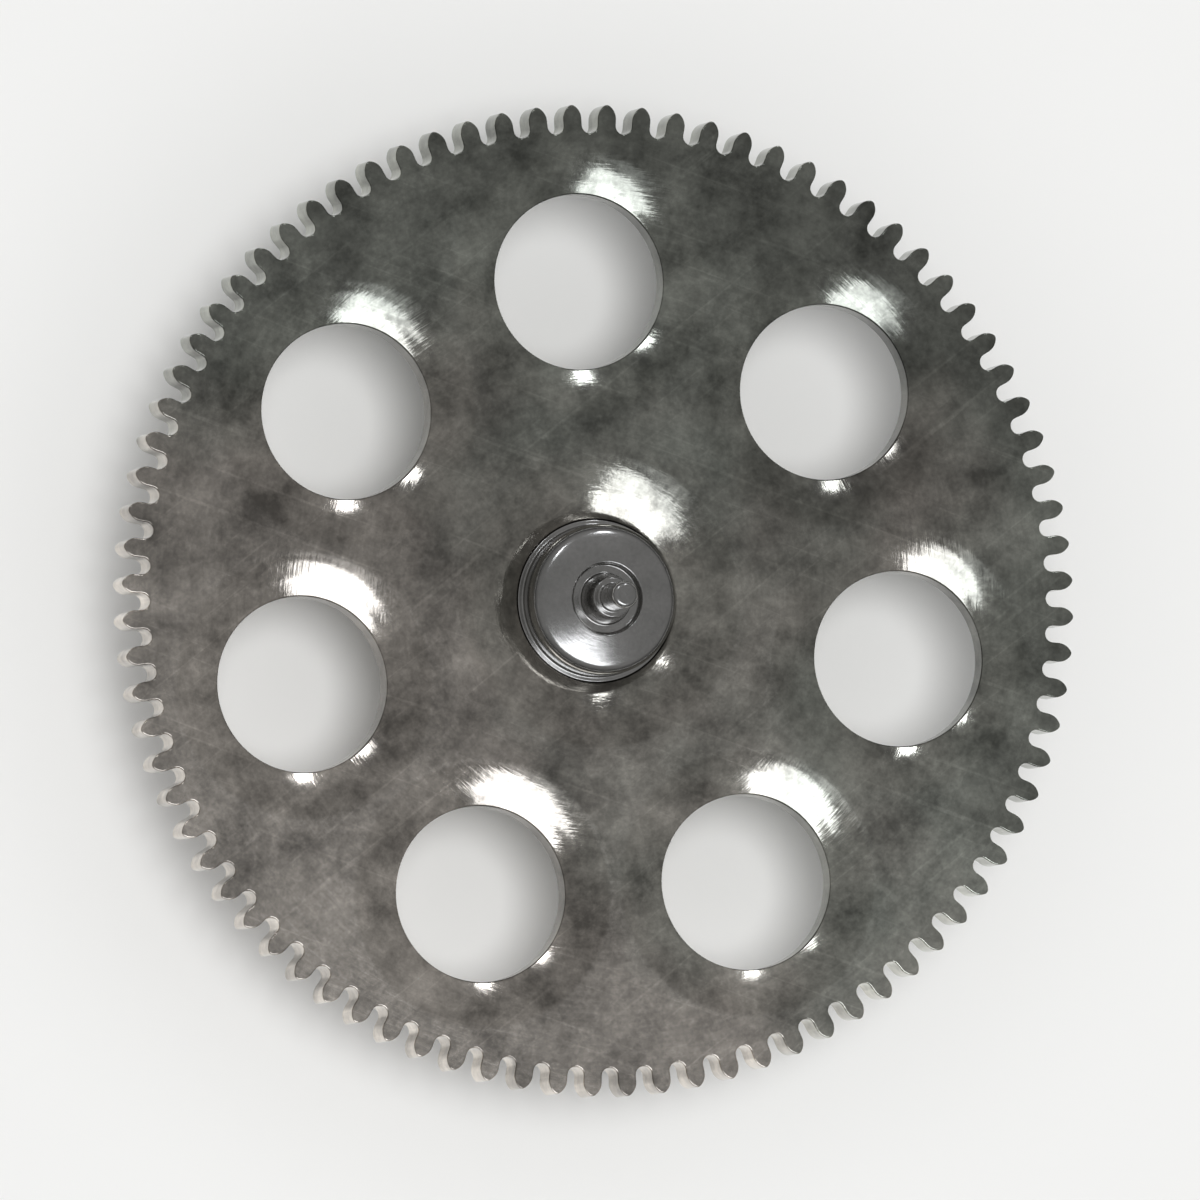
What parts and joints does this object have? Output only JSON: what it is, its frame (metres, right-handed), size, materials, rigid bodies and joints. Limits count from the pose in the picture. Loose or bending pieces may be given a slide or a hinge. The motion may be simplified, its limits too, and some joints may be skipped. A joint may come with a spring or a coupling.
{
  "type": "second wheel",
  "caption": "Watch second wheel: a thin toothed plate with round lightening holes, riveted onto a steel leaf pinion whose arbor has a pivot at each end.",
  "frame": {"origin": "on the arbor's axis, at the shoulder of the lower pivot", "axes": "+Z along the arbor, from the pinion through the plate to the upper pivot; +Y through the centre of one of the round holes"},
  "size_m": [0.0058, 0.0058, 0.0019],
  "materials": {
    "wheel_metal": "dark grey metal, satin with a faint circular grain, rolled edges round the holes",
    "pinion_steel": "hardened steel, polished leaves and burnished pivots"
  },
  "bodies": {
    "root": {"wheel_plate": "wheel_metal", "pinion_arbor": "pinion_steel"}
  },
  "joints": []
}
